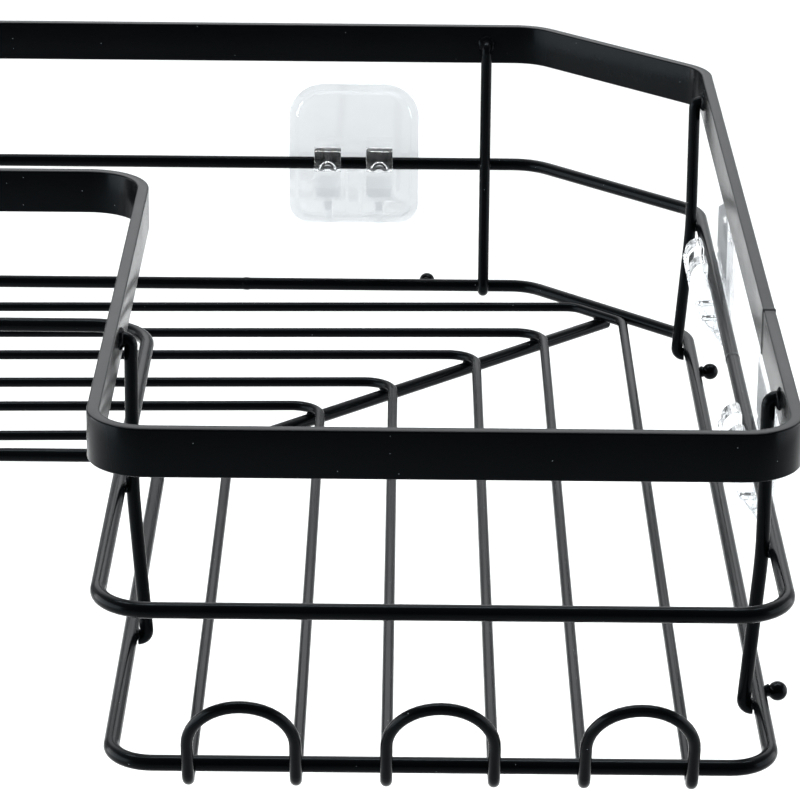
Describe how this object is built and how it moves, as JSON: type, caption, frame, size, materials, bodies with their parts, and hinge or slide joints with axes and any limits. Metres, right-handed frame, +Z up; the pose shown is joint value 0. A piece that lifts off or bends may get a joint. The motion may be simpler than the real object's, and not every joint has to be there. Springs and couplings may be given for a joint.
{
  "type": "shower caddy",
  "caption": "L-shaped corner shower caddy: a black coated wire rack with towel hooks at both arm ends, hung on clear adhesive wall plates.",
  "frame": {"origin": "where the planes of the two walls meet, at the height of the middle rail's axis", "axes": "+X out through the side wall, so the rack lies at -X; +Y out through the back wall, so the rack lies at -Y; +Z up. The rack is symmetric about the plane x = y"},
  "size_m": [0.3912, 0.3912, 0.0939],
  "materials": {
    "black_powder_coat": "satin black powder coat over steel wire and bar",
    "black_ball_coat": "glossier black coat on the small bumper balls",
    "clear_plastic": "clear moulded plastic, polished",
    "clear_adhesive": "clear double-sided adhesive sheet, faintly hazy"
  },
  "bodies": {
    "wall_plates": {"wall_plate_right_corner": "clear_plastic", "wall_plate_right_end": "clear_plastic", "wall_plate_left_corner": "clear_plastic", "wall_plate_left_end": "clear_plastic", "adhesive_sheet_right_corner": "clear_adhesive", "adhesive_sheet_right_end": "clear_adhesive", "adhesive_sheet_left_corner": "clear_adhesive", "adhesive_sheet_left_end": "clear_adhesive"},
    "rack": {"top_rail": "black_powder_coat", "middle_rail": "black_powder_coat", "bottom_rail": "black_powder_coat", "diagonal_brace": "black_powder_coat", "floor_loop_outer": "black_powder_coat", "floor_loop_middle": "black_powder_coat", "floor_loop_inner": "black_powder_coat", "upright_right_corner": "black_powder_coat", "upright_right_end": "black_powder_coat", "upright_right_inner": "black_powder_coat", "upright_left_corner": "black_powder_coat", "upright_left_end": "black_powder_coat", "upright_left_inner": "black_powder_coat", "bumper_stem_right_corner": "black_powder_coat", "bumper_stem_right_end": "black_powder_coat", "bumper_stem_left_corner": "black_powder_coat", "bumper_stem_left_end": "black_powder_coat", "bumper_ball_right_corner": "black_ball_coat", "bumper_ball_right_end": "black_ball_coat", "bumper_ball_left_corner": "black_ball_coat", "bumper_ball_left_end": "black_ball_coat"}
  },
  "joints": [
    {"name": "rack_lift_off", "type": "slide", "parent": "wall_plates", "child": "rack", "axis": [0, 0, 1], "range_m": [0, 0.012]}
  ]
}
